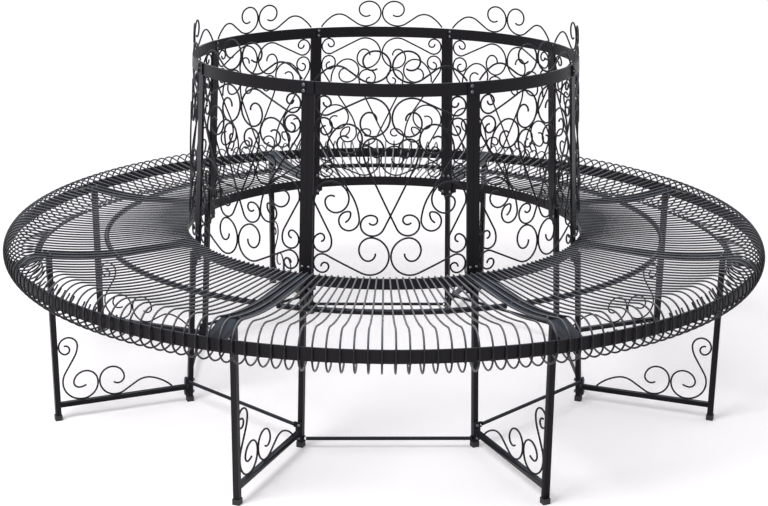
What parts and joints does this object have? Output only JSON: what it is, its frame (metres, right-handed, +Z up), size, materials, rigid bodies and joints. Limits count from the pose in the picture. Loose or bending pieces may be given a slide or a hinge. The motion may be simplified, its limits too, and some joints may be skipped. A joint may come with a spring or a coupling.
{
  "type": "round garden bench",
  "caption": "Round garden bench that circles a tree, with a wire seat rolled over its rim, a scrollwork back and slender legs, all in dark coated steel.",
  "frame": {"origin": "centre of the bench on the ground", "axes": "+Z up, -Y through the middle of the front seat section"},
  "size_m": [1.9998, 1.9998, 0.9645],
  "materials": {
    "coated_steel": "satin black powder coat",
    "bright_bolts": "bright zinc plated",
    "black_plastic": "matt moulded"
  },
  "bodies": {
    "root": {"back_frame_1": "coated_steel", "back_frame_2": "coated_steel", "back_frame_3": "coated_steel", "back_frame_4": "coated_steel", "back_frame_5": "coated_steel", "back_frame_6": "coated_steel", "back_frame_7": "coated_steel", "back_frame_8": "coated_steel", "back_scroll_1": "coated_steel", "back_scroll_2": "coated_steel", "back_scroll_3": "coated_steel", "back_scroll_4": "coated_steel", "back_scroll_5": "coated_steel", "back_scroll_6": "coated_steel", "back_scroll_7": "coated_steel", "back_scroll_8": "coated_steel", "seat_frame_1": "coated_steel", "seat_frame_2": "coated_steel", "seat_frame_3": "coated_steel", "seat_frame_4": "coated_steel", "seat_frame_5": "coated_steel", "seat_frame_6": "coated_steel", "seat_frame_7": "coated_steel", "seat_frame_8": "coated_steel", "seat_wires_1": "coated_steel", "seat_wires_2": "coated_steel", "seat_wires_3": "coated_steel", "seat_wires_4": "coated_steel", "seat_wires_5": "coated_steel", "seat_wires_6": "coated_steel", "seat_wires_7": "coated_steel", "seat_wires_8": "coated_steel", "leg_frame_1": "coated_steel", "leg_frame_2": "coated_steel", "leg_frame_3": "coated_steel", "leg_frame_4": "coated_steel", "leg_frame_5": "coated_steel", "leg_frame_6": "coated_steel", "leg_frame_7": "coated_steel", "leg_frame_8": "coated_steel", "leg_scroll_1": "coated_steel", "leg_scroll_2": "coated_steel", "leg_scroll_3": "coated_steel", "leg_scroll_4": "coated_steel", "leg_scroll_5": "coated_steel", "leg_scroll_6": "coated_steel", "leg_scroll_7": "coated_steel", "leg_scroll_8": "coated_steel", "inner_leg_1": "coated_steel", "inner_leg_2": "coated_steel", "inner_leg_3": "coated_steel", "inner_leg_4": "coated_steel", "inner_leg_5": "coated_steel", "inner_leg_6": "coated_steel", "inner_leg_7": "coated_steel", "inner_leg_8": "coated_steel", "ring_rods": "coated_steel", "upper_bolts": "bright_bolts", "foot_bolts": "bright_bolts", "foot_caps": "black_plastic"}
  },
  "joints": []
}
